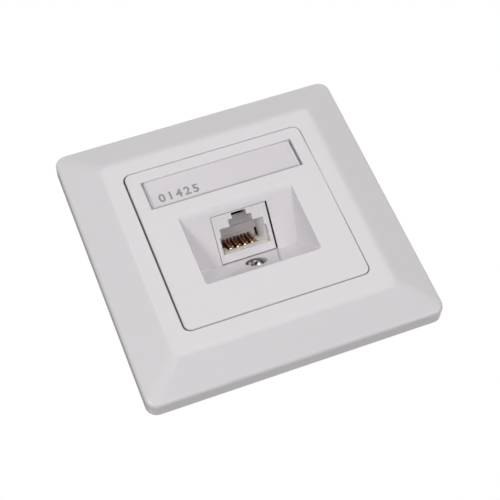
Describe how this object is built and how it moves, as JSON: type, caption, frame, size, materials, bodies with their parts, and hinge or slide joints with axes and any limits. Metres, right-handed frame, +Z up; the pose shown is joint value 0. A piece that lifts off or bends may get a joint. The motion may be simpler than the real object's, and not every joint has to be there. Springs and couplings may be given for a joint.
{
  "type": "ethernet wall socket",
  "caption": "Square flush-mounted network outlet with a sloped cover frame, a label window and a slanted recess that holds a modular socket for a data plug.",
  "frame": {"origin": "centre of the outlet on the wall plane, midway between the box-screw slots", "axes": "+X to the right and +Z up the wall as seen from the room; the front faces -Y and +Y goes into the wall"},
  "size_m": [0.08, 0.0375, 0.08],
  "materials": {
    "white_plastic": "gloss",
    "socket_plastic": "satin",
    "insert_plastic": "satin",
    "carrier_plastic": "satin",
    "terminal_plastic": "satin",
    "label_paper": "matt card",
    "clear_plastic": "clear, polished",
    "plated_steel": "bright zinc plate",
    "zinc_steel": "zinc-plated sheet",
    "brass": "machined",
    "gilt_contact": "gold over nickel",
    "tinned_blade": "tinned bronze",
    "board_laminate": "green solder mask"
  },
  "bodies": {
    "root": {"cover_frame": "white_plastic", "central_plate": "white_plastic", "label_card": "label_paper", "label_cover": "clear_plastic", "plate_screw": "plated_steel", "threaded_insert": "brass", "support_plate": "zinc_steel", "carrier_rivets": "plated_steel", "jack_carrier": "carrier_plastic", "circuit_board": "board_laminate", "jack_housing": "socket_plastic", "contact_insert": "insert_plastic", "idc_block_left": "terminal_plastic", "idc_block_right": "terminal_plastic", "contact_1": "gilt_contact", "contact_2": "gilt_contact", "contact_3": "gilt_contact", "contact_4": "gilt_contact", "contact_5": "gilt_contact", "contact_6": "gilt_contact", "contact_7": "gilt_contact", "contact_8": "gilt_contact", "idc_blade_1": "tinned_blade", "idc_blade_2": "tinned_blade", "idc_blade_3": "tinned_blade", "idc_blade_4": "tinned_blade", "idc_blade_5": "tinned_blade", "idc_blade_6": "tinned_blade", "idc_blade_7": "tinned_blade", "idc_blade_8": "tinned_blade"}
  },
  "joints": []
}
